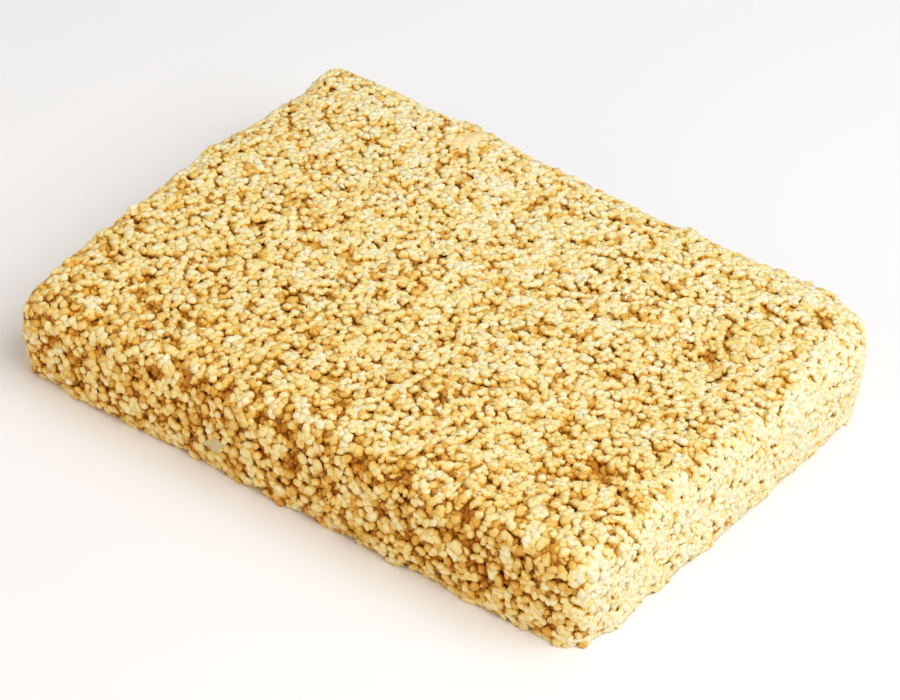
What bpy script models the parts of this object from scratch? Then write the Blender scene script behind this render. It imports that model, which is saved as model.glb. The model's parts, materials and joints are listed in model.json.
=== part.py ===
"""Amaranth brittle: a hand-pressed slab of popped amaranth grains bound with syrup.

The slab is one solid. It starts as a box cut into cells a little wider than a grain. Its
corners and edges are rounded, and its faces get the unevenness, nicks and lumps of hand
pressing. Then each cell is raised into one bump, and the proudest grains are fused on.
The underside stays flat. Lengths are in metres, the slab rests on z = 0 with the origin
under its middle, and its length runs along +X.
"""

import math
import random
from typing import NamedTuple

import bmesh
import bpy
from mathutils import Vector, noise

# Driving dimensions.
LENGTH = 0.108
WIDTH = 0.081
THICKNESS = 0.018
GRAIN = 0.0018  # diameter of one popped grain

# The rounding of the slab, in units that follow from the driving dimensions.
PLAN_RADII = {  # radius of each upright corner, by the signs of its x and y
    (-1, -1): 0.32 * THICKNESS,
    (1, -1): 0.26 * THICKNESS,
    (1, 1): 0.45 * THICKNESS,
    (-1, 1): 0.22 * THICKNESS,
}
TOP_EDGE_RADIUS = 0.13 * THICKNESS
FRONT_EDGE_RADIUS = 0.19 * THICKNESS  # the top edge of the -Y side is worn rounder
BASE_EDGE_INSET = 0.05 * THICKNESS
FOOT_HEIGHT = 0.01 * THICKNESS  # points lower than this stay on the flat underside

# Grain relief.
CELL = 1.45 * GRAIN
BUMP_RISE = 0.32 * GRAIN
BUMP_SPREAD = 0.45  # part by which a bump's rise varies
PIT_DEPTH = 0.28 * GRAIN  # the most that the cell corners sink between bumps
CELL_JITTER = 0.22 * CELL

# Unevenness of the pressed faces.
TOP_WAVE = 0.033 * THICKNESS
TOP_SLOPE = 0.7  # a face point whose normal rises more steeply counts as top
SIDE_WAVE = 0.045 * THICKNESS
WAVE_LENGTH = 0.9 * THICKNESS
CORNER_DROOP = 0.20 * THICKNESS  # fall of the top at the (-X, -Y) corner
DROOP_START = (-0.2, 0.15)  # parts of half the length and width where the fall starts

# The proudest grains, fused on as small balls.
PROUD_GRAINS = 52
PROUD_RADIUS = (0.46 * GRAIN, 0.60 * GRAIN)
PROUD_SINK = 0.25  # part of a ball's radius by which its centre lies under the surface
PROUD_SPACING = 2.5 * GRAIN
PROUD_FLOOR = THICKNESS / 6  # no proud grain sits lower on the sides
RIM_SHARE = 0.6  # share of the proud grains that sit near the top rim
RIM_FLOOR = THICKNESS - 2 * CELL
RIM_SLOPES = (0.0, 0.93)  # rise of the normals along the rounded rim

SEED = 38


class Feature(NamedTuple):
    """A soft dent or lump: where it is, how far it reaches and how far it moves the face."""

    at: tuple  # parts of half the length, half the width and the whole thickness
    radius: float
    rise: float  # negative for a dent


FEATURES = (
    # nicks where grains broke off the -X rim, near its back corner
    Feature((-1.00, 0.48, 1.00), 1.8 * GRAIN, -0.75 * GRAIN),
    Feature((-0.98, 0.74, 1.00), 1.8 * GRAIN, -0.85 * GRAIN),
    # lumps and dips along the back rim
    Feature((-0.36, 1.00, 0.95), 1.6 * GRAIN, 0.20 * GRAIN),
    Feature((0.03, 1.00, 1.00), 2.8 * GRAIN, -0.45 * GRAIN),
    Feature((0.22, 1.00, 1.00), 1.6 * GRAIN, -0.45 * GRAIN),
    Feature((0.62, 1.00, 0.95), 5.5 * GRAIN, 0.30 * GRAIN),
    # hollows under the front rim
    Feature((-0.41, -1.00, 0.78), 2.3 * GRAIN, -0.55 * GRAIN),
    Feature((-0.02, -1.00, 0.82), 2.2 * GRAIN, -0.50 * GRAIN),
    Feature((0.18, -1.00, 0.82), 2.2 * GRAIN, -0.55 * GRAIN),
    Feature((0.57, -1.00, 0.86), 2.1 * GRAIN, -0.55 * GRAIN),
    # lump and bites along the front's lower edge
    Feature((0.36, -1.00, 0.08), 2.0 * GRAIN, 0.40 * GRAIN),
    Feature((0.50, -1.00, 0.08), 1.8 * GRAIN, -0.55 * GRAIN),
    Feature((0.86, -1.00, 0.08), 1.8 * GRAIN, -0.45 * GRAIN),
    # the left and right corners swell at half height, over worn feet
    Feature((-0.97, -0.97, 0.50), 2.2 * GRAIN, 0.55 * GRAIN),
    Feature((-1.00, -1.00, 0.00), 2.6 * GRAIN, -0.50 * GRAIN),
    Feature((1.00, -1.00, 0.00), 3.4 * GRAIN, -0.80 * GRAIN),
    Feature((1.00, 0.90, 0.00), 2.8 * GRAIN, -0.50 * GRAIN),
    Feature((1.00, 0.80, 0.65), 3.2 * GRAIN, 0.30 * GRAIN),
    # pits in the top
    Feature((0.77, -0.49, 1.00), 1.6 * GRAIN, -0.55 * GRAIN),
    Feature((0.66, 0.34, 1.00), 1.7 * GRAIN, -0.45 * GRAIN),
    Feature((-0.11, 0.61, 1.00), 1.5 * GRAIN, -0.35 * GRAIN),
    # swell and hollow in the right end
    Feature((1.00, 0.35, 0.60), 4.0 * GRAIN, 0.30 * GRAIN),
    Feature((1.00, -0.40, 0.30), 3.6 * GRAIN, -0.35 * GRAIN),
)


def clear_scene():
    """Remove what the open file holds."""
    for obj in list(bpy.data.objects):
        bpy.data.objects.remove(obj, do_unlink=True)


def make_collection(name):
    """Return a new collection linked to the scene."""
    collection = bpy.data.collections.new(name)
    bpy.context.scene.collection.children.link(collection)
    return collection


def make_brittle_material():
    """Return the cream and caramel finish of the popped grain."""
    material = bpy.data.materials.new("popped_amaranth")
    material.use_nodes = True
    shader = material.node_tree.nodes["Principled BSDF"]
    shader.inputs["Base Color"].default_value = (0.80, 0.55, 0.25, 1.0)
    shader.inputs["Roughness"].default_value = 0.55
    shader.inputs["Metallic"].default_value = 0.0
    return material


def round_off(across, along):
    """Map a point of a square corner onto the quarter disc that fits in the square."""
    if min(across, along) <= 0.0:
        return across, along
    scale = max(across, along) / math.hypot(across, along)
    return across * scale, along * scale


def round_in_plan(x, y):
    """Return x, y inside the rounded outline, its distance inwards and the way out."""
    side_x = math.copysign(1.0, x)
    side_y = math.copysign(1.0, y)
    radius = PLAN_RADII[(int(side_x), int(side_y))]
    past_x = abs(x) - (LENGTH / 2 - radius)
    past_y = abs(y) - (WIDTH / 2 - radius)
    past_x, past_y = round_off(past_x, past_y)
    if past_x > 0.0 and past_y > 0.0:
        reach = math.hypot(past_x, past_y)
        outward = Vector((side_x * past_x, side_y * past_y, 0.0)) / reach
    else:
        reach = max(past_x, past_y)
        outward = Vector((side_x, 0.0, 0.0)) if past_x > past_y else Vector((0.0, side_y, 0.0))
    x = side_x * (LENGTH / 2 - radius + past_x)
    y = side_y * (WIDTH / 2 - radius + past_y)
    return x, y, radius - reach, outward


def round_point(point):
    """Move a point of the plain box onto the slab with rounded corners and edges."""
    x, y, inset, outward = round_in_plan(point.x, point.y)
    front = max(0.0, -outward.y)
    radius = TOP_EDGE_RADIUS + (FRONT_EDGE_RADIUS - TOP_EDGE_RADIUS) * front
    across = radius - inset
    up = point.z - (THICKNESS - radius)
    new_across, new_up = round_off(across, up)
    rounded = Vector((x, y, THICKNESS - radius + new_up)) + outward * (new_across - across)
    if point.z < FOOT_HEIGHT:
        rounded -= outward * max(0.0, BASE_EDGE_INSET - inset)
    return rounded


def droop(x, y):
    """Return how far the top has sunk at x, y, towards the (-X, -Y) corner."""
    start_x, start_y = DROOP_START
    along = (start_x - 2 * x / LENGTH) / (start_x + 1.0)
    beside = (start_y - 2 * y / WIDTH) / (start_y + 1.0)
    return CORNER_DROOP * min(1.0, max(0.0, along)) * min(1.0, max(0.0, beside)) ** 2


def feature_rise(point):
    """Return how far the dents and lumps move the face at a point."""
    rise = 0.0
    for feature in FEATURES:
        part_x, part_y, part_z = feature.at
        centre = Vector((part_x * LENGTH / 2, part_y * WIDTH / 2, part_z * THICKNESS))
        distance = (point - centre).length / feature.radius
        rise += feature.rise * math.exp(-distance * distance)
    return rise


def cut_into_cells(bm):
    """Cut the box with planes, so that every face is split into cells of about CELL."""
    for axis, size in enumerate((LENGTH, WIDTH, THICKNESS)):
        count = round(size / CELL)
        normal = Vector((0.0, 0.0, 0.0))
        normal[axis] = 1.0
        start = 0.0 if axis == 2 else -size / 2
        for step in range(1, count):
            bmesh.ops.bisect_plane(
                bm,
                geom=bm.verts[:] + bm.edges[:] + bm.faces[:],
                plane_co=normal * (start + size * step / count),
                plane_no=normal,
            )


def press_into_shape(bm, draw):
    """Round the box, let its corner droop, and make its faces uneven."""
    for vert in bm.verts:
        vert.co = round_point(vert.co)
        vert.co.z *= 1.0 - droop(vert.co.x, vert.co.y) / THICKNESS
    bm.normal_update()
    moves = {}
    for vert in bm.verts:
        wave = TOP_WAVE if vert.normal.z > TOP_SLOPE else SIDE_WAVE
        rise = wave * noise.noise(vert.co / WAVE_LENGTH) + feature_rise(vert.co)
        shake = Vector([draw.uniform(-CELL_JITTER, CELL_JITTER) for _ in range(3)])
        shake -= vert.normal * shake.dot(vert.normal)
        moves[vert] = vert.normal * rise + shake
    for vert, move in moves.items():
        if vert.co.z < FOOT_HEIGHT:
            move.z = 0.0
        vert.co += move


def raise_bumps(bm, draw):
    """Poke every cell above the underside, raise its middle and sink its corners."""
    cells = [face for face in bm.faces if any(vert.co.z > 0.0 for vert in face.verts)]
    for vert in bm.verts:
        if vert.co.z > 0.0:
            vert.co -= vert.normal * draw.uniform(0.0, PIT_DEPTH)
    middles = bmesh.ops.poke(bm, faces=cells)["verts"]
    bm.normal_update()
    for vert in middles:
        rise = BUMP_RISE * (1.0 + draw.uniform(-BUMP_SPREAD, BUMP_SPREAD))
        vert.co += vert.normal * rise


def flatten_underside(bm):
    """Join the flat cells of the underside into one face."""
    flat = [face for face in bm.faces if all(vert.co.z == 0.0 for vert in face.verts)]
    bmesh.ops.dissolve_faces(bm, faces=flat, use_verts=True)


def make_slab(collection, material, draw):
    """Return the slab with its bumps, as one closed object."""
    bm = bmesh.new()
    bmesh.ops.create_cube(bm, size=1.0)
    bmesh.ops.scale(bm, vec=(LENGTH, WIDTH, THICKNESS), verts=bm.verts)
    bmesh.ops.translate(bm, vec=(0.0, 0.0, THICKNESS / 2), verts=bm.verts)
    cut_into_cells(bm)
    press_into_shape(bm, draw)
    bm.normal_update()
    raise_bumps(bm, draw)
    flatten_underside(bm)
    mesh = bpy.data.meshes.new("amaranth_brittle")
    bm.to_mesh(mesh)
    bm.free()
    mesh.materials.append(material)
    slab = bpy.data.objects.new("amaranth_brittle", mesh)
    collection.objects.link(slab)
    return slab


def choose_proud_spots(slab, draw):
    """Return bump tops for the proudest grains, spread evenly, more of them near the rim."""
    tops = [vert for vert in slab.data.vertices if vert.co.z > PROUD_FLOOR]
    draw.shuffle(tops)
    lowest, highest = RIM_SLOPES
    rim = [vert for vert in tops if vert.co.z > RIM_FLOOR and lowest < vert.normal.z < highest]
    rim_count = round(PROUD_GRAINS * RIM_SHARE)
    spots = []
    for source, count in ((rim, rim_count), (tops, PROUD_GRAINS)):
        for vert in source:
            if len(spots) >= count:
                break
            if all((vert.co - other.co).length > PROUD_SPACING for other in spots):
                spots.append(vert)
    return spots


def make_proud_grains(slab, collection, material, draw):
    """Add one small ball for each proud grain, half sunk in the slab."""
    for index, spot in enumerate(choose_proud_spots(slab, draw)):
        radius = draw.uniform(*PROUD_RADIUS)
        bm = bmesh.new()
        bmesh.ops.create_icosphere(bm, subdivisions=1, radius=radius)
        bmesh.ops.translate(bm, vec=spot.co - spot.normal * radius * PROUD_SINK, verts=bm.verts)
        mesh = bpy.data.meshes.new(f"proud_grain_{index:02d}")
        bm.to_mesh(mesh)
        bm.free()
        mesh.materials.append(material)
        collection.objects.link(bpy.data.objects.new(mesh.name, mesh))


def fuse(slab, collection):
    """Join the collection's balls to the slab for good, and remove them."""
    union = slab.modifiers.new("fuse_proud_grains", "BOOLEAN")
    union.operation = "UNION"
    union.solver = "EXACT"
    union.operand_type = "COLLECTION"
    union.collection = collection
    depsgraph = bpy.context.evaluated_depsgraph_get()
    fused = bpy.data.meshes.new_from_object(slab.evaluated_get(depsgraph))
    slab.modifiers.clear()
    slab.data = fused
    for grain in list(collection.objects):
        bpy.data.objects.remove(grain, do_unlink=True)
    bpy.data.collections.remove(collection)


def fit_to_size(slab):
    """Scale and centre the slab, so that its box has exactly the driving dimensions."""
    points = [vert.co for vert in slab.data.vertices]
    low = Vector([min(point[axis] for point in points) for axis in range(3)])
    high = Vector([max(point[axis] for point in points) for axis in range(3)])
    size = high - low
    middle = (low + high) / 2
    for point in points:
        point.x = (point.x - middle.x) * LENGTH / size.x
        point.y = (point.y - middle.y) * WIDTH / size.y
        point.z = (point.z - low.z) * THICKNESS / size.z


def main():
    """Build the brittle."""
    clear_scene()
    draw = random.Random(SEED)
    noise.seed_set(SEED)
    brittle = make_collection("Amaranth brittle")
    grains = make_collection("Proud grains")
    material = make_brittle_material()
    slab = make_slab(brittle, material, draw)
    make_proud_grains(slab, grains, material, draw)
    fuse(slab, grains)
    fit_to_size(slab)
    slab.data.update()


main()
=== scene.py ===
"""Looks of the amaranth brittle: a hand-pressed slab of popped grains bound with syrup.

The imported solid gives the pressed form. A syrup core fills it, two layers of popped grains
lie on it, and crumbs, unpopped seeds and syrup smears finish it. Lengths are in metres.
"""

import json
import logging
import math
from collections.abc import Sequence
from dataclasses import dataclass, field
from enum import Enum, IntEnum

import bmesh
import bpy
import numpy as np
from mathutils import Matrix, Vector, kdtree, noise
from mathutils.bvhtree import BVHTree

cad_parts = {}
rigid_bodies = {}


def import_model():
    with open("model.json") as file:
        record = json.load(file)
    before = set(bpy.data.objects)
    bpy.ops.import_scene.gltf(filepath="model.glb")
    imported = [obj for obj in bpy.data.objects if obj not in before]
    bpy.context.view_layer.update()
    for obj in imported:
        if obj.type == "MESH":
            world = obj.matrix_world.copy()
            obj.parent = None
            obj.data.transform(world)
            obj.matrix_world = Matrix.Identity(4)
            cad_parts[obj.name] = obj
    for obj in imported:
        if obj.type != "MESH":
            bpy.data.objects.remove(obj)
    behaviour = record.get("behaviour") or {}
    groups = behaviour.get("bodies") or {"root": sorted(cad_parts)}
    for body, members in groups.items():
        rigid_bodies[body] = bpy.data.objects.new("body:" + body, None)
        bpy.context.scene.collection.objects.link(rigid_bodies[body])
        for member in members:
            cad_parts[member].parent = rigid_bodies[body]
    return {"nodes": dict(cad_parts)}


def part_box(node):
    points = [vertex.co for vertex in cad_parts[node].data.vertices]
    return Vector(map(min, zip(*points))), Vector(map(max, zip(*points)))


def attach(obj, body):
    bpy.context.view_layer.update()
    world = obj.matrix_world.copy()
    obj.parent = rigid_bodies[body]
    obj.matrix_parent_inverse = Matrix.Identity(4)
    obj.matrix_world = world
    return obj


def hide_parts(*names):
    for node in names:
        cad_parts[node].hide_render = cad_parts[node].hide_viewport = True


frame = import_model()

MM = 0.001
PER_METRE = 1000.0  # millimetres in a metre
ON_GROUND = 0.01 * MM  # what lies lower than this rests on the ground
NEIGHBOURS = 6  # how many grains lie about a grain
NODE = "amaranth_brittle"
BODY = "root"
Colour = tuple[float, float, float]

log = logging.getLogger("amaranth_brittle")


class Seed(IntEnum):
    """Where each row of random draws starts."""

    OUTER_LAYER = 1907
    INNER_GRAINS = 1908
    OUTER_KINDS = 1909
    INNER_LAYER = 1912
    CRUMB_LAYER = 1916
    OUTER_GRAINS = 1917  # and one more for each kind after the first
    CRUMBS = 1937
    HUSK_LAYER = 1947
    HUSKS = 1948
    POCKETS = 1967


# ---- shader tools


class Value:
    """A node's output that takes part in Python expressions."""

    def __init__(self, graph: "Graph", socket: bpy.types.NodeSocket) -> None:
        """Keep the graph and the socket that the value comes from."""
        self.graph = graph
        self.socket = socket

    def _math(self, operation: str, first: object, second: object) -> "Value":
        """Return the value of one Math node."""
        settings = {"operation": operation}
        return self.graph.value("ShaderNodeMath", settings, {0: first, 1: second})

    def __add__(self, other: object) -> "Value":
        """Return self + other."""
        return self._math("ADD", self, other)

    def __radd__(self, other: object) -> "Value":
        """Return other + self."""
        return self._math("ADD", other, self)

    def __sub__(self, other: object) -> "Value":
        """Return self - other."""
        return self._math("SUBTRACT", self, other)

    def __rsub__(self, other: object) -> "Value":
        """Return other - self."""
        return self._math("SUBTRACT", other, self)

    def __mul__(self, other: object) -> "Value":
        """Return self * other."""
        return self._math("MULTIPLY", self, other)

    def step(self, low: float, high: float) -> "Value":
        """Return 0 below low, 1 above high, and a smooth rise between them."""
        settings = {"interpolation_type": "SMOOTHSTEP"}
        inputs = {"Value": self, "From Min": low, "From Max": high}
        return self.graph.value("ShaderNodeMapRange", settings, inputs)


class Graph:
    """A material's node tree, written as calls and expressions."""

    def __init__(self, name: str) -> None:
        """Start a material that holds only its output."""
        self.material = bpy.data.materials.new(name)
        self.material.use_nodes = True
        self.tree = self.material.node_tree
        self.tree.nodes.clear()

    def node(self, kind: str, settings: dict, inputs: dict) -> bpy.types.Node:
        """Add a node.

        Args:
            kind: The node's type.
            settings: Its own settings, set first; "stops" are a ramp's places and colours.
            inputs: Numbers, colours or values for its sockets.

        Returns:
            The node.
        """
        node = self.tree.nodes.new(kind)
        for key, setting in settings.items():
            if key == "stops":
                self._set_stops(node.color_ramp, setting)
            else:
                setattr(node, key, setting)
        for key, given in inputs.items():
            if isinstance(given, Value):
                self.tree.links.new(given.socket, node.inputs[key])
            else:
                node.inputs[key].default_value = given
        return node

    @staticmethod
    def _set_stops(ramp: bpy.types.ColorRamp, stops: Sequence[tuple[float, Colour]]) -> None:
        """Give a ramp its stops."""
        while len(ramp.elements) < len(stops):
            ramp.elements.new(1.0)
        for element, (place, colour) in zip(ramp.elements, stops):
            element.position = place
            element.color = (*colour, 1.0)

    def value(self, kind: str, settings: dict, inputs: dict, output: int | str = 0) -> Value:
        """Add a node and return one of its outputs as a value."""
        return Value(self, self.node(kind, settings, inputs).outputs[output])

    def attribute(self, name: str) -> Value:
        """Return a number that the piece's mesh carries."""
        return self.value("ShaderNodeAttribute", {"attribute_name": name}, {}, "Fac")

    def place(self) -> Value:
        """Return the place on the piece, in object coordinates."""
        return self.value("ShaderNodeTexCoord", {}, {}, "Object")

    def noise(
        self, size: float, detail: float = 2.0, roughness: float = 0.5, shift: float = 0.0
    ) -> Value:
        """Return a noise whose blotches are about size across.

        Args:
            size: Width of a blotch, in metres.
            detail: Number of finer layers.
            roughness: Strength of the finer layers.
            shift: Moves the pattern, so that two noises of a size differ.

        Returns:
            The noise, around 0.5.
        """
        move = {"Vector": self.place(), "Location": (shift, shift, shift)}
        moved = self.value("ShaderNodeMapping", {}, move)
        inputs = {"Vector": moved, "Scale": 0.5 / size, "Detail": detail, "Roughness": roughness}
        return self.value("ShaderNodeTexNoise", {}, inputs, "Fac")

    def mix(self, factor: object, first: object, second: object) -> Value:
        """Return a colour between two others."""
        settings = {"data_type": "RGBA", "clamp_factor": True}
        pair = [(*part, 1.0) if isinstance(part, tuple) else part for part in (first, second)]
        return self.value("ShaderNodeMix", settings, {0: factor, 6: pair[0], 7: pair[1]}, 2)

    def ramp(self, factor: Value, stops: Sequence[tuple[float, Colour]]) -> Value:
        """Return a colour that a factor picks between stops."""
        return self.value("ShaderNodeValToRGB", {"stops": stops}, {"Fac": factor})

    def bump(self, height: Value, distance: float, strength: float) -> Value:
        """Return a normal that follows a height."""
        inputs = {"Height": height, "Distance": distance, "Strength": strength}
        return self.value("ShaderNodeBump", {}, inputs)

    def finish(self, inputs: dict) -> bpy.types.Material:
        """Close the graph with a Principled shader and return the material."""
        shader = self.value("ShaderNodeBsdfPrincipled", {}, inputs)
        self.node("ShaderNodeOutputMaterial", {}, {"Surface": shader})
        return self.material


# ---- finishes


@dataclass(frozen=True)
class PoppedFinish:
    """The finish of one sort of popped grain.

    It reads three numbers off the mesh: the grain's tone, how far syrup has reached it, which also
    carries painted shade and light on the slab's sides; the crease, how deep between the grains a
    place lies, where syrup gathers and painted shade browns the colour; and the rim, how far out
    on its grain, which warms the flanks as painted shade.
    """

    name: str
    dry: Colour  # a puff that no syrup has reached
    pale: Colour  # a puff with a thin coat of syrup
    warm: Colour  # a puff that syrup has soaked into
    amber: Colour  # syrup in the creases between grains, also painted shade there
    brown: Colour  # syrup deep between the grains, also painted shade there
    burnt_and_shade: Colour = (0.56, 0.21, 0.016)  # dark syrup in small pockets, darkened in the creases as painted shade
    soak: float = 0.0  # raises or lowers how far syrup has reached
    roughness: float = 0.5
    ragged_size: float = 0.6 * MM  # width of the ragged edges of the syrup
    pool_size: float = 1.2 * MM  # width of the places where syrup pools
    fold_size: float = 0.50 * MM  # width of the folds of a puff
    wrinkle_size: float = 0.2 * MM
    relief: float = 0.22 * MM  # height of the folds and wrinkles
    gloss: float = 0.25

    def material(self) -> bpy.types.Material:
        """Return the finish as a material."""
        graph = Graph(self.name)
        tone = graph.attribute("tone")
        crease = graph.attribute("crease")
        rim = graph.attribute("rim")
        ragged = graph.noise(self.ragged_size) - 0.5
        pool = graph.noise(self.pool_size, shift=0.13) - 0.5
        # The puff itself, from dry to soaked through; its crease and rim terms add painted shade,
        # warmer deep in the creases and out on the flanks.
        soaked = tone * 0.7 + self.soak + pool * 0.8 + ragged * 0.8 + rim * 0.15 + crease * 0.9
        colour = graph.ramp(soaked, ((0.10, self.dry), (0.45, self.pale), (0.95, self.warm)))
        # Syrup in the creases, and browner syrup deep in them; the browning with depth is also
        # painted shade.
        shallow = crease + tone * 0.3 + pool * 0.9 + ragged * 0.5
        colour = graph.mix(shallow.step(0.36, 0.66), colour, self.amber)
        deep = crease + tone * 0.3 + pool * 0.7 + ragged * 0.6
        colour = graph.mix(deep.step(0.60, 0.95), colour, self.brown)
        # The darkest syrup, on grains that it has soaked most, darkened further in the creases as
        # painted shade.
        dark = crease * 0.5 + tone + ragged * 0.4
        colour = graph.mix(dark.step(1.04, 1.28), colour, self.burnt_and_shade)
        # Syrup held in the dents between the puff's own folds, which is also painted shade in the
        # dents that the bump lowers.
        fold = graph.noise(self.fold_size, detail=1.0, shift=0.47)
        dent = 0.5 - fold + pool * 0.25
        colour = graph.mix(dent.step(0.12, 0.24), colour, self.amber)
        wrinkle = graph.noise(self.wrinkle_size, roughness=0.6, shift=0.31)
        return graph.finish(
            {
                "Base Color": colour,
                "Roughness": ragged * 0.35 + self.roughness,
                "Specular IOR Level": self.gloss,
                "Normal": graph.bump(fold * 2.0 + wrinkle * 0.3, self.relief, 1.0),
            }
        )


@dataclass(frozen=True)
class SyrupFinish:
    """Set sugar syrup, which darkens in clouds."""

    name: str
    thin: Colour
    thick: Colour
    roughness: float = 0.28
    relief: float = 0.12 * MM
    cloud_size: float = 1.8 * MM
    grain_size: float = 0.5 * MM

    def material(self) -> bpy.types.Material:
        """Return the finish as a material."""
        graph = Graph(self.name)
        cloud = graph.noise(self.cloud_size, detail=3.0)
        grain = graph.noise(self.grain_size, shift=0.4)
        return graph.finish(
            {
                "Base Color": graph.mix(cloud.step(0.3, 0.7), self.thin, self.thick),
                "Roughness": self.roughness + grain * 0.2,
                "Normal": graph.bump(grain + cloud, self.relief, 0.6),
            }
        )


@dataclass(frozen=True)
class PaintedFinish:
    """A plain matt studio surface with a faint mottle."""

    name: str
    colour: Colour
    roughness: float = 0.9
    mottle_size: float = 30 * MM
    mottle: float = 0.985  # the darker places' share of the colour

    def material(self) -> bpy.types.Material:
        """Return the finish as a material."""
        graph = Graph(self.name)
        cloud = graph.noise(self.mottle_size)
        darker = tuple(self.mottle * part for part in self.colour)
        colour = graph.mix(cloud, darker, self.colour)
        return graph.finish({"Base Color": colour, "Roughness": self.roughness})


PALE = PoppedFinish(
    "pale_puff",
    dry=(0.95, 0.875, 0.61),
    pale=(0.95, 0.80, 0.37),
    warm=(0.92, 0.67, 0.20),
    amber=(0.88, 0.54, 0.090),
    brown=(0.82, 0.46, 0.060),
)
CREAM = PoppedFinish(
    "cream_puff",
    dry=(0.95, 0.86, 0.57),
    pale=(0.94, 0.775, 0.335),
    warm=(0.91, 0.64, 0.18),
    amber=(0.86, 0.52, 0.083),
    brown=(0.80, 0.44, 0.054),
    soak=0.04,
)
GOLDEN = PoppedFinish(
    "golden_puff",
    dry=(0.92, 0.78, 0.42),
    pale=(0.90, 0.68, 0.26),
    warm=(0.84, 0.54, 0.12),
    amber=(0.81, 0.46, 0.065),
    brown=(0.62, 0.30, 0.028),
    soak=0.15,
    roughness=0.42,
)
TOASTED = PoppedFinish(
    "toasted_puff",
    dry=(0.90, 0.66, 0.26),
    pale=(0.85, 0.54, 0.13),
    warm=(0.76, 0.40, 0.055),
    amber=(0.66, 0.30, 0.028),
    brown=(0.50, 0.19, 0.012),
    soak=0.2,
    roughness=0.4,
)
# Inner grains: syrup-soaked, browner colours that are also painted shade in the gaps they show
# through.
SOAKED_AND_SHADED = PoppedFinish(
    "soaked_grain",
    dry=(0.92, 0.72, 0.32),
    pale=(0.88, 0.60, 0.17),
    warm=(0.84, 0.50, 0.09),
    amber=(0.76, 0.41, 0.048),
    brown=(0.60, 0.28, 0.024),
    soak=0.1,
    roughness=0.4,
)
SEED_HUSK = PoppedFinish(
    "seed_husk",
    dry=(0.82, 0.50, 0.14),
    pale=(0.66, 0.32, 0.05),
    warm=(0.48, 0.19, 0.018),
    amber=(0.40, 0.15, 0.012),
    brown=(0.28, 0.10, 0.008),
    burnt_and_shade=(0.24, 0.08, 0.007),
    soak=0.1,
    roughness=0.3,
)
# The core's dark caramel is syrup, kept dark as painted shade at the bottom of the deepest gaps.
CORE_SYRUP_AND_SHADE = SyrupFinish("core_syrup", thin=(0.66, 0.33, 0.035), thick=(0.48, 0.19, 0.014))
BEIGE_SYRUP = SyrupFinish(
    "beige_syrup",
    thin=(0.92, 0.74, 0.38),
    thick=(0.88, 0.62, 0.24),
    roughness=0.5,
    relief=0.10 * MM,
)
CLOUDED_SYRUP = SyrupFinish(
    "clouded_syrup",
    thin=(0.64, 0.60, 0.37),
    thick=(0.58, 0.50, 0.26),
    roughness=0.5,
    relief=0.10 * MM,
)
FLOOR_PAINT = PaintedFinish("floor_paint", (0.94, 0.94, 0.935))


# ---- pressed form


def mesh_of(bm: bmesh.types.BMesh, name: str) -> bpy.types.Mesh:
    """Return what was modelled as a mesh, and let the modelling data go."""
    mesh = bpy.data.meshes.new(name)
    bm.to_mesh(mesh)
    bm.free()
    return mesh


@dataclass
class PressedForm:
    """The slab's pressed form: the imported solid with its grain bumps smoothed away."""

    smoothing: int = 4  # how many times it is smoothed
    weld: float = 0.001 * MM  # distance below which two corners are one
    mesh: bpy.types.Mesh = field(init=False)
    tree: BVHTree = field(init=False)

    def __post_init__(self) -> None:
        """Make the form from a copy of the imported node."""
        bm = bmesh.new()
        bm.from_mesh(frame["nodes"][NODE].data)
        bmesh.ops.remove_doubles(bm, verts=bm.verts, dist=self.weld)
        loose = [vert for vert in bm.verts if vert.co.z >= ON_GROUND]
        axes = {"use_axis_x": True, "use_axis_y": True, "use_axis_z": True}
        for _ in range(self.smoothing):
            bmesh.ops.smooth_vert(bm, verts=loose, factor=0.5, **axes)
        bm.normal_update()
        self.tree = BVHTree.FromBMesh(bm)
        self.mesh = mesh_of(bm, "pressed_form")

    def measure(self, points: np.ndarray) -> tuple[np.ndarray, np.ndarray, np.ndarray]:
        """Find where points lie in relation to the form.

        Args:
            points: One row for each point.

        Returns:
            The nearest places on the form, the way out there, and the points' heights over it,
            which are below zero inside.
        """
        places = np.empty_like(points)
        normals = np.empty_like(points)
        heights = np.empty(len(points))
        for row, point in enumerate(points):
            place, normal, _, distance = self.tree.find_nearest(point)
            places[row] = place
            normals[row] = normal
            heights[row] = distance
        inside = np.einsum("ij,ij->i", points - places, normals) < 0.0
        heights[inside] *= -1.0
        return places, normals, heights


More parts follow.
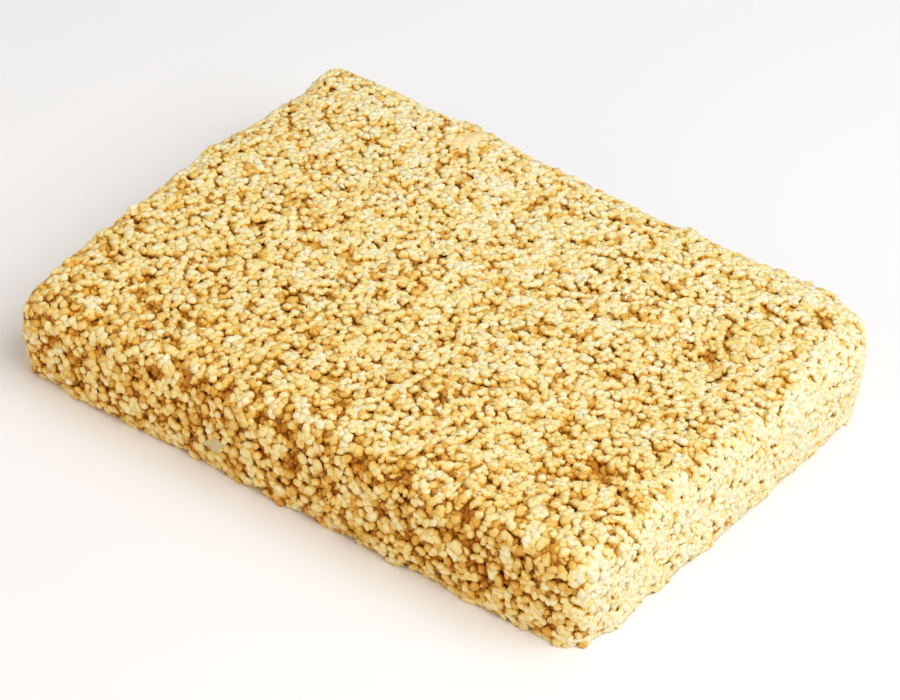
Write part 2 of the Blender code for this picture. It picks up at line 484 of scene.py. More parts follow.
class Scatter:
    """Geometry Nodes trees that spread points and set shapes on them."""

    CROWD = 6.0  # points tried on each square as wide as the gap

    @staticmethod
    def _tree(name: str) -> tuple[bpy.types.NodeTree, bpy.types.Node, bpy.types.Node]:
        """Return a geometry tree with its input and output nodes."""
        tree = bpy.data.node_groups.new(name, "GeometryNodeTree")
        tree.interface.new_socket("Geometry", in_out="INPUT", socket_type="NodeSocketGeometry")
        tree.interface.new_socket("Geometry", in_out="OUTPUT", socket_type="NodeSocketGeometry")
        return tree, tree.nodes.new("NodeGroupInput"), tree.nodes.new("NodeGroupOutput")

    @staticmethod
    def _apply(mesh: bpy.types.Mesh, tree: bpy.types.NodeTree) -> bpy.types.Mesh:
        """Return what a tree makes of a mesh, and remove the tree."""
        carrier = bpy.data.objects.new("carrier", mesh)
        bpy.context.scene.collection.objects.link(carrier)
        carrier.modifiers.new("nodes", "NODES").node_group = tree
        depsgraph = bpy.context.evaluated_depsgraph_get()
        made = bpy.data.meshes.new_from_object(carrier.evaluated_get(depsgraph))
        bpy.data.objects.remove(carrier)
        bpy.data.node_groups.remove(tree)
        return made

    @classmethod
    def even_points(cls, mesh: bpy.types.Mesh, gap: float, seed: int) -> np.ndarray:
        """Return random points on a mesh that keep a gap between them.

        Args:
            mesh: What the points lie on.
            gap: The least distance between two points.
            seed: Starts the random draws.

        Returns:
            One row for each point.
        """
        tree, start, end = cls._tree("even_points")
        spread = tree.nodes.new("GeometryNodeDistributePointsOnFaces")
        spread.distribute_method = "POISSON"
        spread.inputs["Distance Min"].default_value = gap
        spread.inputs["Density Max"].default_value = cls.CROWD / gap**2
        spread.inputs["Seed"].default_value = seed
        to_vertices = tree.nodes.new("GeometryNodePointsToVertices")
        tree.links.new(start.outputs[0], spread.inputs["Mesh"])
        tree.links.new(spread.outputs["Points"], to_vertices.inputs[0])
        tree.links.new(to_vertices.outputs[0], end.inputs[0])
        made = cls._apply(mesh, tree)
        points = read_points(made)
        bpy.data.meshes.remove(made)
        return points

    @classmethod
    def set_shapes(cls, points: bpy.types.Mesh, shapes: bpy.types.Collection) -> bpy.types.Mesh:
        """Set a shape on every point and join them.

        Args:
            points: Loose vertices with the attributes shape, turn and size.
            shapes: The collection that the shape numbers count through.

        Returns:
            One mesh, whose vertices keep the points' other attributes.
        """
        tree, start, end = cls._tree("set_shapes")
        source = tree.nodes.new("GeometryNodeCollectionInfo")
        source.inputs["Collection"].default_value = shapes
        source.inputs["Separate Children"].default_value = True
        source.inputs["Reset Children"].default_value = True
        setter = tree.nodes.new("GeometryNodeInstanceOnPoints")
        setter.inputs["Pick Instance"].default_value = True
        to_rotation = tree.nodes.new("FunctionNodeEulerToRotation")
        for name, kind, socket in (
            ("shape", "INT", setter.inputs["Instance Index"]),
            ("size", "FLOAT_VECTOR", setter.inputs["Scale"]),
            ("turn", "FLOAT_VECTOR", to_rotation.inputs[0]),
        ):
            reader = tree.nodes.new("GeometryNodeInputNamedAttribute")
            reader.data_type = kind
            reader.inputs["Name"].default_value = name
            tree.links.new(reader.outputs[0], socket)
        tree.links.new(to_rotation.outputs[0], setter.inputs["Rotation"])
        realize = tree.nodes.new("GeometryNodeRealizeInstances")
        smooth = tree.nodes.new("GeometryNodeSetShadeSmooth")
        tree.links.new(start.outputs[0], setter.inputs["Points"])
        tree.links.new(source.outputs[0], setter.inputs["Instance"])
        tree.links.new(setter.outputs[0], realize.inputs[0])
        tree.links.new(realize.outputs[0], smooth.inputs[0])
        tree.links.new(smooth.outputs[0], end.inputs[0])
        return cls._apply(points, tree)


def read_points(mesh: bpy.types.Mesh) -> np.ndarray:
    """Return a mesh's vertices, one row each."""
    flat = np.empty(len(mesh.vertices) * 3, np.float32)
    mesh.vertices.foreach_get("co", flat)
    return flat.reshape(-1, 3).astype(float)


def write_attribute(mesh: bpy.types.Mesh, name: str, kind: str, numbers: np.ndarray) -> None:
    """Give each vertex of a mesh a number or a vector."""
    layer = mesh.attributes.new(name, kind, "POINT")
    key = "vector" if kind == "FLOAT_VECTOR" else "value"
    layer.data.foreach_set(key, numbers.astype(np.int32 if kind == "INT" else np.float32).ravel())


def read_attribute(mesh: bpy.types.Mesh, name: str, kind: type) -> np.ndarray:
    """Return the number that each vertex of a mesh carries."""
    numbers = np.empty(len(mesh.vertices), kind)
    mesh.attributes[name].data.foreach_get("value", numbers)
    return numbers


def dress(name: str, mesh: bpy.types.Mesh, material: bpy.types.Material) -> bpy.types.Object:
    """Make a finished mesh a piece of the object.

    Args:
        name: The piece's name.
        mesh: Its mesh, in place.
        material: Its finish.

    Returns:
        The piece, which rides on the slab's body.
    """
    mesh.materials.clear()
    mesh.materials.append(material)
    piece = bpy.data.objects.new(name, mesh)
    bpy.context.scene.collection.objects.link(piece)
    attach(piece, BODY)
    log.info("%s: %d triangles", name, sum(len(face.vertices) - 2 for face in mesh.polygons))
    return piece


# ---- uneven places


@dataclass(frozen=True)
class Spot:
    """A place on the slab that differs from its surroundings. Lengths are in millimetres."""

    place: tuple[float, float, float]
    radius: float
    sunk: float  # how much deeper its grains lie
    syrup: float  # how much more syrup lies there, or less where below zero


TOP_HOLLOWS = (
    Spot((39.3, -19.0, 17.5), 1.3, 1.2, 0.9),
    Spot((41.4, -20.5, 17.5), 1.4, 1.4, 1.0),
    Spot((43.3, -19.0, 17.5), 0.9, 0.9, 0.7),
    Spot((49.0, -21.5, 17.2), 1.4, 0.6, 1.2),
    Spot((37.1, 13.1, 17.5), 1.6, 1.0, 0.9),
    Spot((33.2, 14.0, 17.5), 1.3, 0.2, 1.3),
    Spot((37.2, 27.8, 17.5), 1.1, 0.8, 0.6),
    Spot((43.7, 31.8, 17.3), 1.1, 0.8, 0.6),
    Spot((30.9, -15.8, 17.5), 1.0, 0.8, 0.6),
    Spot((47.7, -8.1, 17.5), 1.1, 0.8, 0.6),
    Spot((2.6, -31.0, 17.5), 1.2, 0.9, 0.8),
    Spot((-2.5, -29.6, 17.5), 0.9, 0.7, 0.5),
    Spot((-9.2, -7.1, 17.5), 1.0, 0.7, 0.5),
    Spot((3.1, 8.2, 17.5), 1.0, 0.7, 0.5),
    Spot((28.3, -1.2, 17.5), 1.0, 0.7, 0.5),
    Spot((-33.5, -30.0, 17.4), 1.1, 0.9, 0.8),
    Spot((-43.4, -32.7, 17.2), 1.0, 0.8, 0.7),
    Spot((-39.8, -38.7, 16.8), 1.6, 0.6, 1.3),
)
FRONT_HOLLOWS = (
    Spot((30.4, -40.0, 15.9), 1.3, 1.0, 0.8),
    Spot((35.1, -40.0, 6.1), 1.3, 1.0, 0.8),
    Spot((18.7, -40.0, 16.9), 1.5, 1.0, 0.9),
    Spot((12.0, -40.0, 15.0), 1.2, 0.9, 0.8),
    Spot((-0.4, -40.0, 8.5), 1.3, 1.0, 0.8),
    Spot((-2.0, -40.0, 14.6), 1.3, 0.9, 0.8),
    Spot((-5.7, -40.0, 14.7), 1.0, 0.8, 0.7),
    Spot((-13.1, -40.0, 17.0), 1.2, 0.7, 1.0),
    Spot((-21.1, -40.0, 14.2), 1.3, 1.0, 0.9),
    Spot((-25.6, -40.0, 12.3), 1.2, 0.9, 0.8),
)
DRY_SPOTS = (
    Spot((-39.8, -40.0, 15.8), 1.1, -0.15, -1.6),
    Spot((-37.2, -40.2, 14.8), 1.0, -0.15, -1.6),
    Spot((-5.7, -39.5, 17.0), 1.1, -0.15, -1.6),
    Spot((-1.0, -38.8, 17.2), 1.0, -0.15, -1.4),
    Spot((2.0, -37.4, 17.4), 1.3, -0.10, -1.4),
    Spot((6.8, -37.3, 17.4), 1.1, -0.10, -1.2),
    Spot((11.7, -33.1, 17.5), 1.2, -0.10, -1.2),
    Spot((40.4, -38.0, 17.2), 1.3, -0.10, -1.2),
)
SPOTS = TOP_HOLLOWS + FRONT_HOLLOWS + DRY_SPOTS


def tree_of(places: np.ndarray) -> kdtree.KDTree:
    """Return a tree that finds the places near a point."""
    tree = kdtree.KDTree(len(places))
    for row, place in enumerate(places):
        tree.insert(place, row)
    tree.balance()
    return tree


@dataclass
class SyrupMap:
    """How unevenly the syrup and the hollows lie over the slab, with painted shade on the shaded
    side at -Y and painted light on the lit side at +X.
    """

    form: PressedForm
    cloud: float = 2.2 * MM  # width of the wetter and drier patches
    patchiness: float = 1.0  # how much they differ
    streaks: float = 1.2  # how much more they differ at -Y, partly painted shade on that shaded side
    front: float = 0.6  # painted shade: the side at -Y, in shade, gets more syrup colour
    right: float = -1.2  # painted light: the side at +X, in the key light, gets less
    back: float = -0.3  # how it changes from the middle to the side at +Y
    half_width: float = 40 * MM
    clump: float = 1.5 * MM  # width of the clumps that gaps come in
    pocket_gap: float = 9.0 * MM  # least distance between small pockets of syrup
    pocket_radius: float = 0.9 * MM
    pocket_sunk: float = 0.40 * MM  # how much deeper the grains of a pocket lie
    pocket_syrup: float = 1.5  # how much more syrup lies there
    pockets: kdtree.KDTree = field(init=False)

    def __post_init__(self) -> None:
        """Strew the small pockets."""
        self.pockets = tree_of(Scatter.even_points(self.form.mesh, self.pocket_gap, Seed.POCKETS))

    def syrup(self, ground: np.ndarray, normals: np.ndarray) -> np.ndarray:
        """Return how much syrup lies about each place, around 0, with painted shade at -Y and
        painted light at +X.
        """
        front, right = np.maximum(-normals[:, 1], 0.0), np.maximum(normals[:, 0], 0.0)
        amount = (self.patchiness + self.streaks * front) * self._clouds(ground, self.cloud)
        slope = self.back * ground[:, 1] / self.half_width
        amount += self.front * front + self.right * right + slope
        for spot in SPOTS:
            amount += spot.syrup * self._nearness(spot, ground)
        return amount + self.pocket_syrup * self._pocketed(ground)

    def sinking(self, ground: np.ndarray) -> np.ndarray:
        """Return how much deeper than others the grains at each place lie."""
        depth = np.zeros(len(ground))
        for spot in SPOTS:
            depth += spot.sunk * MM * self._nearness(spot, ground)
        return depth + self.pocket_sunk * self._pocketed(ground)

    def clumps(self, ground: np.ndarray) -> np.ndarray:
        """Return a value that is high where gaps between the grains gather."""
        return self._clouds(ground, self.clump)

    @staticmethod
    def _clouds(ground: np.ndarray, size: float) -> np.ndarray:
        """Return a soft noise at each place."""
        return np.array([noise.noise(Vector(place) / size) for place in ground])

    def _pocketed(self, ground: np.ndarray) -> np.ndarray:
        """Return 1 in the middle of a small pocket, falling to 0 past its radius."""
        distance = np.array([self.pockets.find(place)[2] for place in ground])
        return np.exp(-((distance / self.pocket_radius) ** 2))

    def _nearness(self, spot: Spot, ground: np.ndarray) -> np.ndarray:
        """Return 1 in the middle of a spot, falling to 0 past its radius."""
        middle = self.form.measure(np.array([spot.place]) * MM)[0]
        distance = np.linalg.norm(ground - middle, axis=1)
        return np.exp(-((distance / (spot.radius * MM)) ** 2))


# ---- grains


class Puff(Enum):
    """The shapes that amaranth comes in."""

    PLUMP = "plump"
    SPLIT = "split"
    FLAT = "flat"
    CURLED = "curled"
    CRUMB = "crumb"
    SEED = "seed"


# How far each shape is stretched along X, Y and Z. The others stay as they are.
STRETCHES = {
    Puff.SPLIT: (1.14, 1.0, 1.0),
    Puff.FLAT: (1.12, 1.0, 0.86),
    Puff.CURLED: (1.18, 0.84, 1.0),
    Puff.SEED: (1.0, 1.0, 0.62),
}


@dataclass
class PuffShapes:
    """Small closed shapes of one sort, each a little different."""

    puff: Puff
    count: int = 12
    crumple: float = 0.44
    seed_crumple: float = 0.03
    shifts: tuple[float, ...] = (7.3, 3.1, 5.7)  # how far apart two shapes lie in the noise
    lumps: float = 1.3  # how close the lumps of a popped seed lie
    small_lumps: float = 3.0
    small_share: float = 0.9  # height of the small lumps, beside the others
    foot_from: float = -0.4  # height below which the ball is drawn into a cone
    foot_tip: float = -0.8
    furrow_width: float = 0.25
    furrow_depth: float = 0.30

    def collection(self) -> bpy.types.Collection:
        """Return a collection of the shapes, each about 1 in radius."""
        shapes = bpy.data.collections.new(f"{self.puff.value}_shapes")
        bpy.context.scene.collection.children.link(shapes)
        for number in range(self.count):
            shapes.objects.link(self._shape(number))
        return shapes

    def _shape(self, number: int) -> bpy.types.Object:
        """Return one shape: a crumpled ball whose hidden foot is a plain cone."""
        bm = bmesh.new()
        if self.puff is Puff.CRUMB:
            bmesh.ops.create_icosphere(bm, subdivisions=1, radius=1.0)
        else:
            bmesh.ops.create_uvsphere(bm, u_segments=8, v_segments=4, radius=1.0)
            foot = [vert for vert in bm.verts if vert.co.z < self.foot_from]
            bmesh.ops.pointmerge(bm, verts=foot, merge_co=(0.0, 0.0, self.foot_tip))
        for vert in bm.verts:
            vert.co = self._pop(vert.co.copy(), number)
        bmesh.ops.recalc_face_normals(bm, faces=bm.faces)
        mesh = mesh_of(bm, f"{self.puff.value}_{number}")
        return bpy.data.objects.new(mesh.name, mesh)

    def _pop(self, point: Vector, number: int) -> Vector:
        """Return where a point of the ball goes when the seed pops."""
        offset = Vector([number * shift for shift in self.shifts])
        lump = noise.noise(point * self.lumps + offset)
        lump += self.small_share * noise.noise(point * self.small_lumps - offset)
        crumple = self.seed_crumple if self.puff is Puff.SEED else self.crumple
        popped = point * (1.0 + crumple * lump)
        if self.puff is Puff.SPLIT:
            furrow = math.exp(-((point.x / self.furrow_width) ** 2)) * max(0.0, point.z)
            popped *= 1.0 - self.furrow_depth * furrow
        for axis, stretch in enumerate(STRETCHES.get(self.puff, ())):
            popped[axis] *= stretch
        return popped

    @staticmethod
    def remove(shapes: bpy.types.Collection) -> None:
        """Remove the shapes once they have been copied onto the points."""
        for shape in list(shapes.objects):
            bpy.data.meshes.remove(shape.data)
        bpy.data.collections.remove(shapes)


@dataclass
class Bed:
    """One layer of grains, one row for each."""

    ground: np.ndarray  # the place on the pressed form
    normals: np.ndarray  # the way out
    radii: np.ndarray
    rise: np.ndarray  # height of the grain's middle over the ground
    syrup: np.ndarray  # how much syrup lies about it, with painted shade and light on the sides
    tone: np.ndarray  # how far syrup has reached it, from 0 to 1, with painted shade and light on the sides

    @property
    def places(self) -> np.ndarray:
        """Return the grains' middles."""
        return self.ground + self.normals * self.rise[:, None]

    def part(self, chosen: np.ndarray) -> "Bed":
        """Return the grains that are chosen."""
        rows = (self.ground, self.normals, self.radii, self.rise, self.syrup, self.tone)
        return Bed(*(row[chosen] for row in rows))


@dataclass
class GrainLayer:
    """An even, slightly jostled layer of grains on the pressed form.

    A share of its grains can lie sunk, as the gaps that show between the others. Some gaps lie
    alone, some gather in clumps, and more of them are where there is more syrup.
    """

    syrup_map: SyrupMap
    gap: float  # least distance between two grains as they are strewn
    radius: float
    spread: float  # how much the radii differ, as a share
    proud: float  # height of the layer's face over the pressed form
    unevenness: float  # how much that differs from grain to grain
    seed: Seed
    radius_limits: tuple[float, float] = (0.62, 1.42)  # shares of the radius
    inset: float = 0.6  # how far a grain's middle lies under that face, in radii
    steepness: float = 0.7  # where a way out rises less than this, the place is on a side
    under_share: float = 0.7  # share of the grains that are kept on the underside
    under_size: float = 1.25  # and how much larger those are
    settling: int = 0  # how many times close grains are pushed apart
    closeness: float = 0.75  # distance of two settled grains, as a share of their radii
    push: float = 0.25  # share of an overlap that a grain gives way by
    sunk_share: float = 0.0
    sunk_depth: tuple[float, float] = (0.60 * MM, 1.05 * MM)
    sunk_size: float = 0.8
    lone_gaps: float = 0.7  # how much chance decides which grains lie sunk
    clumped_gaps: float = 1.1  # how much the clumps do
    syrup_gaps: float = 0.45  # and how much the syrup does
    mean_tone: float = 0.40
    syrup_tone: float = 0.42  # how much more syrup raises it
    tone_spread: float = 0.08

    def bed(self) -> Bed:
        """Return the layer's grains, settled against each other."""
        form = self.syrup_map.form
        draw = np.random.default_rng(self.seed)
        places = Scatter.even_points(form.mesh, self.gap, self.seed)
        under = places[:, 2] < ON_GROUND
        places = places[~under | (draw.random(len(places)) < self.under_share)]
        count = len(places)
        radii = self.radius * np.clip(draw.normal(1.0, self.spread, count), *self.radius_limits)
        radii[places[:, 2] < ON_GROUND] *= self.under_size
        for _ in range(self.settling):
            places = self._settle(places, radii)
        ground, normals, _ = form.measure(places)
        # The grains at the foot of a side stand on the ground.
        sides = np.abs(normals[:, 2]) < self.steepness
        ground[sides, 2] = np.maximum(ground[sides, 2], self.inset * radii[sides])
        rise = self.proud + self.unevenness * draw.normal(0.0, 1.0, count) - self.inset * radii
        syrup = self.syrup_map.syrup(ground, normals)
        gaps = self.lone_gaps * self._apart(draw.normal(0.0, 1.0, count), ground)
        gaps += self.clumped_gaps * self.syrup_map.clumps(ground) + self.syrup_gaps * syrup
        sunk = gaps > np.quantile(gaps, 1.0 - self.sunk_share)
        rise[sunk] -= draw.uniform(*self.sunk_depth, sunk.sum())
        radii[sunk] *= self.sunk_size
        rise -= self.syrup_map.sinking(ground)
        tone = self.mean_tone + self.syrup_tone * syrup + draw.normal(0.0, self.tone_spread, count)
        log.info("layer of %d grains", count)
        return Bed(ground, normals, radii, rise, syrup, np.clip(tone, 0.0, 1.0))

    def _apart(self, numbers: np.ndarray, places: np.ndarray) -> np.ndarray:
        """Return numbers less those of the grains about them, so that high ones lie apart."""
        tree = tree_of(places)
        around = [[near[1] for near in tree.find_n(place, NEIGHBOURS + 1)[1:]] for place in places]
        return numbers - numbers[np.array(around)].mean(axis=1)

    def _settle(self, places: np.ndarray, radii: np.ndarray) -> np.ndarray:
        """Push close grains apart once and put them back on the form."""
        tree = tree_of(places)
        moved = places.copy()
        for row, place in enumerate(places):
            for other, index, distance in tree.find_n(place, NEIGHBOURS + 1)[1:]:
                reach = self.closeness * (radii[row] + radii[index])
                if distance < reach:
                    away = place - np.array(other)
                    moved[row] += away / distance * self.push * (reach - distance)
        return self.syrup_map.form.measure(moved)[0]


@dataclass
class Grains:
    """All grains of one sort, joined in one piece."""

    name: str
    puff: Puff
    finish: PoppedFinish
    form: PressedForm
    seed: int
    stretch: tuple[float, float] = (0.80, 1.18)  # least and most of the radius, on each axis
    lean: float = 0.35  # how far the grains lean from the way out
    ceiling: float = 0.38 * MM  # how far a grain may stand over the pressed form
    ceiling_spread: float = 0.10 * MM
    softness: float = 0.32 * MM  # depth over which a grain's top is flattened
    under_softness: float = 0.08 * MM  # the same where it rests on the ground
    lift: float = 0.12 * MM  # how far a grain on the underside may stay off the ground
    crease_top: float = 0.22 * MM  # height over the form where creases begin
    crease_depth: float = 0.66 * MM  # how far down from there they are deepest

    def build(self, bed: Bed) -> bpy.types.Object:
        """Set the grains on their bed and return the piece."""
        draw = np.random.default_rng(self.seed)
        shapes = PuffShapes(self.puff)
        count = len(bed.radii)
        points = bpy.data.meshes.new("points")
        points.vertices.add(count)
        points.vertices.foreach_set("co", bed.places.astype(np.float32).ravel())
        size = bed.radii[:, None] * draw.uniform(*self.stretch, (count, 3))
        write_attribute(points, "shape", "INT", draw.integers(0, shapes.count, count))
        write_attribute(points, "size", "FLOAT_VECTOR", size)
        write_attribute(points, "turn", "FLOAT_VECTOR", self._turns(bed.normals, draw))
        write_attribute(points, "grain", "INT", np.arange(count))
        write_attribute(points, "tone", "FLOAT", bed.tone)
        collection = shapes.collection()
        mesh = Scatter.set_shapes(points, collection)
        shapes.remove(collection)
        bpy.data.meshes.remove(points)
        self._press(mesh, bed, draw)
        return dress(self.name, mesh, self.finish.material())

    def _turns(self, normals: np.ndarray, draw: np.random.Generator) -> np.ndarray:
        """Return turns that lay each grain's flat side roughly along the form."""
        turns = np.empty_like(normals)
        for row, normal in enumerate(normals):
            lean = Vector(normal + draw.normal(0.0, self.lean, 3))
            spin = Matrix.Rotation(draw.uniform(0.0, math.tau), 3, "Z")
            turns[row] = (lean.to_track_quat("Z", "Y").to_matrix() @ spin).to_euler()
        return turns

    def _press(self, mesh: bpy.types.Mesh, bed: Bed, draw: np.random.Generator) -> None:
        """Press the grains flat above and below, and mark the creases and the grains' rims."""
        owner = read_attribute(mesh, "grain", np.int32)
        points = read_points(mesh)
        _, ways, height = self.form.measure(points)
        ceiling = self.ceiling + self.ceiling_spread * draw.normal(0.0, 1.0, len(bed.radii))
        points -= ways * (height - self._squash(height, ceiling[owner], self.softness))[:, None]
        lift = draw.uniform(0.0, self.lift, len(bed.radii))
        points[:, 2] = -self._squash(-points[:, 2], -lift[owner], self.under_softness)
        mesh.vertices.foreach_set("co", points.astype(np.float32).ravel())
        crease = np.clip((self.crease_top - height) / self.crease_depth, 0.0, 1.0)
        write_attribute(mesh, "crease", "FLOAT", crease)
        away = points - bed.ground[owner]
        away -= bed.normals[owner] * np.einsum("ij,ij->i", away, bed.normals[owner])[:, None]
        rim = np.clip(np.linalg.norm(away, axis=1) / bed.radii[owner], 0.0, 1.0)
        write_attribute(mesh, "rim", "FLOAT", rim)

    @staticmethod
    def _squash(heights: np.ndarray, limits: np.ndarray, softness: float) -> np.ndarray:
        """Return heights that run softly into their limits."""
        over = np.maximum(heights - limits + softness, 0.0)
        return heights - over + softness * (1.0 - np.exp(-over / softness))


# ---- the brittle


@dataclass
class SyrupCore:
    """The lumpy syrup under the grains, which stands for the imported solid."""

    form: PressedForm
    depth: float = 1.3 * MM  # under the pressed form
    lump_size: float = 1.1 * MM
    lump_height: float = 0.4 * MM

    def build(self) -> bpy.types.Object:
        """Build the core a little inside the pressed form."""
        bm = bmesh.new()
        bm.from_mesh(self.form.mesh)
        bmesh.ops.subdivide_edges(bm, edges=bm.edges, cuts=1, use_grid_fill=True)
        bm.normal_update()
        for vert in bm.verts:
            lump = noise.noise(vert.co / self.lump_size)
            vert.co -= vert.normal * (self.depth + self.lump_height * lump)
        core = dress("syrup_core", mesh_of(bm, "syrup_core"), CORE_SYRUP_AND_SHADE.material())
        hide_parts(NODE)
        return core


@dataclass
class InnerGrains:
    """The second layer of grains, which shows through the gaps of the first."""

    syrup_map: SyrupMap
    gap: float = 1.45 * MM
    radius: float = 1.05 * MM
    depth: float = 0.50 * MM
    ceiling: float = -0.20 * MM
    crease_depth: float = 2.2 * MM

    def build(self) -> bpy.types.Object:
        """Build the layer as one piece."""
        layer = GrainLayer(
            self.syrup_map,
            gap=self.gap,
            radius=self.radius,
            spread=0.14,
            proud=-self.depth,
            unevenness=0.15 * MM,
            seed=Seed.INNER_LAYER,
        )
        grains = Grains(
            "inner_grains",
            Puff.CRUMB,
            SOAKED_AND_SHADED,
            self.syrup_map.form,
            Seed.INNER_GRAINS,
            ceiling=self.ceiling,
            crease_depth=self.crease_depth,
        )
        return grains.build(layer.bed())


@dataclass
class OuterGrains:
    """The outer layer of grains, sorted into kinds."""

    syrup_map: SyrupMap
    gap: float = 0.77 * MM
    radius: float = 0.86 * MM
    proud: float = 0.22 * MM
    sunk_share: float = 0.33
    golden_share: float = 0.12
    golden_growth: float = 1.5  # how much more of them lie where there is more syrup
    toasted_share: float = 0.03
    toasted_growth: float = 2.0
    sort_limits: tuple[float, ...] = (0.27, 0.54, 0.76)  # where the four pale kinds part

    def build(self) -> list[bpy.types.Object]:
        """Build one piece for each kind of grain."""
        layer = GrainLayer(
            self.syrup_map,
            gap=self.gap,
            radius=self.radius,
            spread=0.12,
            proud=self.proud,
            unevenness=0.10 * MM,
            seed=Seed.OUTER_LAYER,
            settling=2,
            sunk_share=self.sunk_share,
        )
        bed = layer.bed()
        draw = np.random.default_rng(Seed.OUTER_KINDS)
        lot = draw.random(len(bed.radii))
        golden = lot < self.golden_share * (1.0 + self.golden_growth * bed.syrup)
        toasted_share = self.toasted_share * (1.0 + self.toasted_growth * bed.syrup)
        toasted = ~golden & (lot > 1.0 - toasted_share)
        sort = np.searchsorted(self.sort_limits, draw.random(len(bed.radii)), side="right")
        sort[golden | toasted] = -1
        kinds = {
            "plump_grains": (Puff.PLUMP, PALE, sort == 0),
            "split_grains": (Puff.SPLIT, CREAM, sort == 1),
            "flat_grains": (Puff.FLAT, PALE, sort == 2),
            "curled_grains": (Puff.CURLED, CREAM, sort == 3),
            "golden_grains": (Puff.SPLIT, GOLDEN, golden),
            "toasted_grains": (Puff.CURLED, TOASTED, toasted),
        }
        pieces = []
        for number, (name, (puff, finish, chosen)) in enumerate(kinds.items()):
            grains = Grains(name, puff, finish, self.syrup_map.form, Seed.OUTER_GRAINS + number)
            pieces.append(grains.build(bed.part(chosen)))
        return pieces


@dataclass
class Crumbs:
    """Broken bits that stick between the grains."""

    syrup_map: SyrupMap
    gap: float = 3.2 * MM
    radius: float = 0.45 * MM

    def build(self) -> bpy.types.Object:
        """Build the bits as one piece."""
        layer = GrainLayer(
            self.syrup_map,
            gap=self.gap,
            radius=self.radius,
            spread=0.25,
            proud=0.2 * MM,
            unevenness=0.22 * MM,
            seed=Seed.CRUMB_LAYER,
        )
        crumbs = Grains("crumbs", Puff.CRUMB, GOLDEN, self.syrup_map.form, Seed.CRUMBS)
        return crumbs.build(layer.bed())


@dataclass
class UnpoppedSeeds:
    """Small glossy seeds that did not pop, lodged between the grains."""

    syrup_map: SyrupMap
    gap: float = 3.4 * MM
    radius: float = 0.60 * MM
    lean: float = 0.6

    def build(self) -> bpy.types.Object:
        """Build the seeds as one piece."""
        layer = GrainLayer(
            self.syrup_map,
            gap=self.gap,
            radius=self.radius,
            spread=0.12,
            proud=0.10 * MM,
            unevenness=0.15 * MM,
            seed=Seed.HUSK_LAYER,
        )
        form = self.syrup_map.form
        seeds = Grains("unpopped_seeds", Puff.SEED, SEED_HUSK, form, Seed.HUSKS, lean=self.lean)
        return seeds.build(layer.bed())


@dataclass
class SyrupSmear:
    """A thin smear of set syrup that lies over the grains."""

    name: str
    form: PressedForm
    centre: tuple[float, float, float]
    along: tuple[float, float, float]
    length: float
    width: float
    finish: SyrupFinish
    lift: float = 0.08 * MM
    half_thickness: float = 0.36 * MM
    raggedness: float = 0.5  # how far its edge runs in and out
    lobes: float = 1.8  # how many times it does so
    ripple_height: float = 0.30 * MM
    ripple_size: float = 0.9 * MM

    def build(self) -> bpy.types.Object:
        """Flatten a ball into a smear and lay it on the form."""
        bm = bmesh.new()
        bmesh.ops.create_icosphere(bm, subdivisions=4, radius=1.0)
        places, normals, _ = self.form.measure(np.array([self.centre]))
        middle, out = Vector(places[0]), Vector(normals[0])
        along = (Vector(self.along) - out * out.dot(Vector(self.along))).normalized()
        across = out.cross(along)
        flat = []
        for vert in bm.verts:
            spot = Vector((vert.co.x, vert.co.y, 0.0)) * self.lobes + middle * PER_METRE
            edge = 1.0 + self.raggedness * noise.noise(spot)
            lengthwise = along * (vert.co.x * self.length / 2.0)
            crosswise = across * (vert.co.y * self.width / 2.0)
            flat.append(middle + (lengthwise + crosswise) * edge)
        ground, ways, _ = self.form.measure(np.array(flat))
        for vert, place, way in zip(bm.verts, ground, ways):
            ripple = self.ripple_height * noise.noise(Vector(place) / self.ripple_size)
            rise = self.lift + ripple + self.half_thickness * vert.co.z
            vert.co = Vector(place) + Vector(way) * rise
        bmesh.ops.recalc_face_normals(bm, faces=bm.faces)
        for face in bm.faces:
            face.smooth = True
        return dress(self.name, mesh_of(bm, self.name), self.finish.material())


# ---- the studio


@dataclass(frozen=True)
class Lamp:
    """A soft square light that looks at the slab."""

    name: str
    azimuth: float  # its side, as the camera's is given
    elevation: float
    watts: float
    colour: Colour
    distance: float = 0.6
    size: float = 0.36


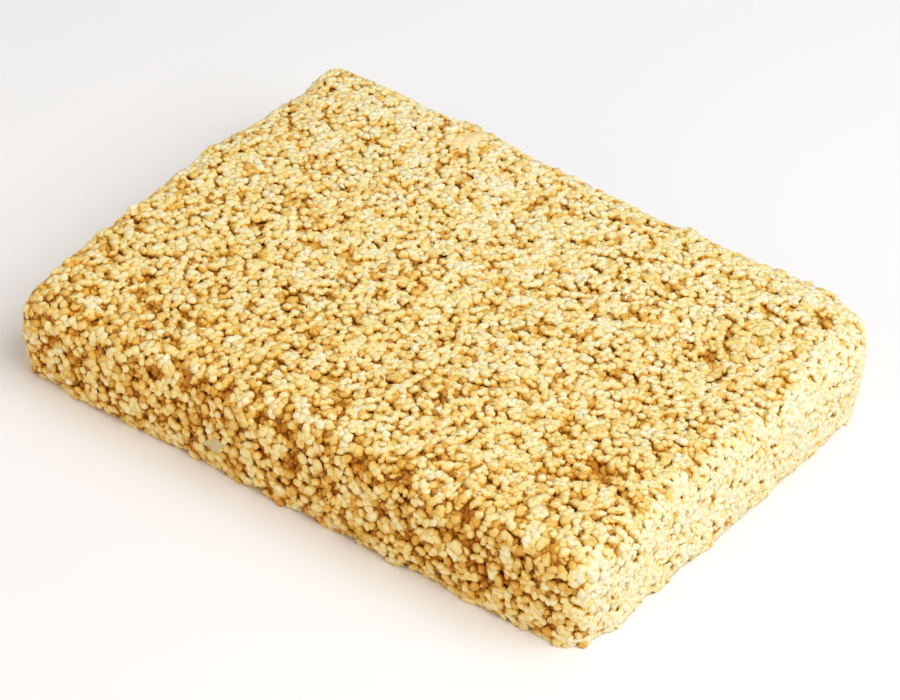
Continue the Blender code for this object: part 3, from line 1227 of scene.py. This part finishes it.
@dataclass
class Studio:
    """A pale floor, soft lights and the camera."""

    azimuth: float = 33.8
    elevation: float = 37.2
    roll: float = 4.21
    focal_px: float = 5000.0
    distance: float = 6.97  # in slab lengths
    aim_px: tuple[float, float] = (1.5, -11.1)  # how far aside and down the slab lies
    image_px: float = 900.0  # width of the image
    sensor: float = 36.0
    floor_reach: float = 3.0
    floor_gap: float = 0.02 * MM
    sky: float = 0.48
    lamps: tuple[Lamp, ...] = (
        Lamp("key", azimuth=94.0, elevation=53.0, watts=3.2, colour=(0.97, 0.975, 1.0), size=0.6),
        Lamp("fill", azimuth=-15.0, elevation=22.0, watts=0.66, colour=(1.0, 0.66, 0.36)),
    )
    centre: Vector = field(init=False)
    length: float = field(init=False)

    def build(self) -> None:
        """Build the floor, the lights and the camera."""
        low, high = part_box(NODE)
        self.centre = (low + high) / 2
        self.length = high.x - low.x
        self._floor()
        self._world()
        for lamp in self.lamps:
            self._hang(lamp)
        self._camera()
        bpy.context.scene.view_settings.view_transform = "Standard"

    def _floor(self) -> None:
        """Lay the floor just under the slab."""
        bm = bmesh.new()
        bmesh.ops.create_grid(bm, x_segments=4, y_segments=4, size=self.floor_reach)
        bmesh.ops.translate(bm, vec=(0.0, 0.0, -self.floor_gap), verts=bm.verts)
        mesh = mesh_of(bm, "floor")
        mesh.materials.append(FLOOR_PAINT.material())
        floor = bpy.data.objects.new("floor", mesh)
        bpy.context.scene.collection.objects.link(floor)

    def _world(self) -> None:
        """Light the scene softly from all around."""
        world = bpy.data.worlds.new("studio")
        world.use_nodes = True
        background = world.node_tree.nodes["Background"]
        background.inputs["Color"].default_value = (1.0, 1.0, 1.0, 1.0)
        background.inputs["Strength"].default_value = self.sky
        bpy.context.scene.world = world

    def _hang(self, lamp: Lamp) -> None:
        """Hang a lamp so that it looks at the slab."""
        light = bpy.data.lights.new(lamp.name, "AREA")
        light.size = lamp.size
        light.energy = lamp.watts
        light.color = lamp.colour
        hung = bpy.data.objects.new(lamp.name, light)
        back = self._back(lamp.azimuth, lamp.elevation)
        hung.location = self.centre + back * lamp.distance
        hung.rotation_euler = back.to_track_quat("Z", "Y").to_euler()
        bpy.context.scene.collection.objects.link(hung)

    @staticmethod
    def _back(azimuth: float, elevation: float) -> Vector:
        """Return the way from the slab to a thing at an azimuth and an elevation."""
        side, height = math.radians(azimuth), math.radians(elevation)
        level = math.cos(height)
        return Vector((math.sin(side) * level, -math.cos(side) * level, math.sin(height)))

    def _camera(self) -> None:
        """Set the camera at its azimuth, elevation, roll and distance."""
        data = bpy.data.cameras.new("camera")
        data.sensor_width = self.sensor
        data.lens = self.focal_px * self.sensor / self.image_px
        back = self._back(self.azimuth, self.elevation)
        turn = math.radians(self.azimuth)
        level = Vector((math.cos(turn), math.sin(turn), 0.0))
        upright = back.cross(level)
        roll = math.radians(self.roll)
        right = level * math.cos(roll) + upright * math.sin(roll)
        up = upright * math.cos(roll) - level * math.sin(roll)
        reach = self.distance * self.length
        aside, down = (part * reach / self.focal_px for part in self.aim_px)
        place = self.centre + back * reach - right * aside + up * down
        facing = Matrix((right, up, back)).transposed().to_4x4()
        camera = bpy.data.objects.new("camera", data)
        camera.matrix_world = Matrix.Translation(place) @ facing
        bpy.context.scene.collection.objects.link(camera)
        bpy.context.scene.camera = camera


def main() -> None:
    """Build the brittle and its studio, and note how large it came out."""
    logging.basicConfig(level=logging.INFO, format="%(name)s: %(message)s")
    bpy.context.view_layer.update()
    form = PressedForm()
    syrup_map = SyrupMap(form)
    SyrupCore(form).build()
    InnerGrains(syrup_map).build()
    OuterGrains(syrup_map).build()
    Crumbs(syrup_map).build()
    UnpoppedSeeds(syrup_map).build()
    SyrupSmear(
        "rim_smear",
        form,
        centre=(-22.7 * MM, 34.0 * MM, 17.2 * MM),
        along=(0.33, 0.94, 0.0),
        length=7.0 * MM,
        width=3.0 * MM,
        finish=BEIGE_SYRUP,
    ).build()
    SyrupSmear(
        "side_smear",
        form,
        centre=(-14.0 * MM, -40.2 * MM, 5.2 * MM),
        along=(1.0, 0.0, 0.4),
        length=3.4 * MM,
        width=2.6 * MM,
        finish=CLOUDED_SYRUP,
    ).build()
    Studio().build()


if __name__ == "__main__":
    main()
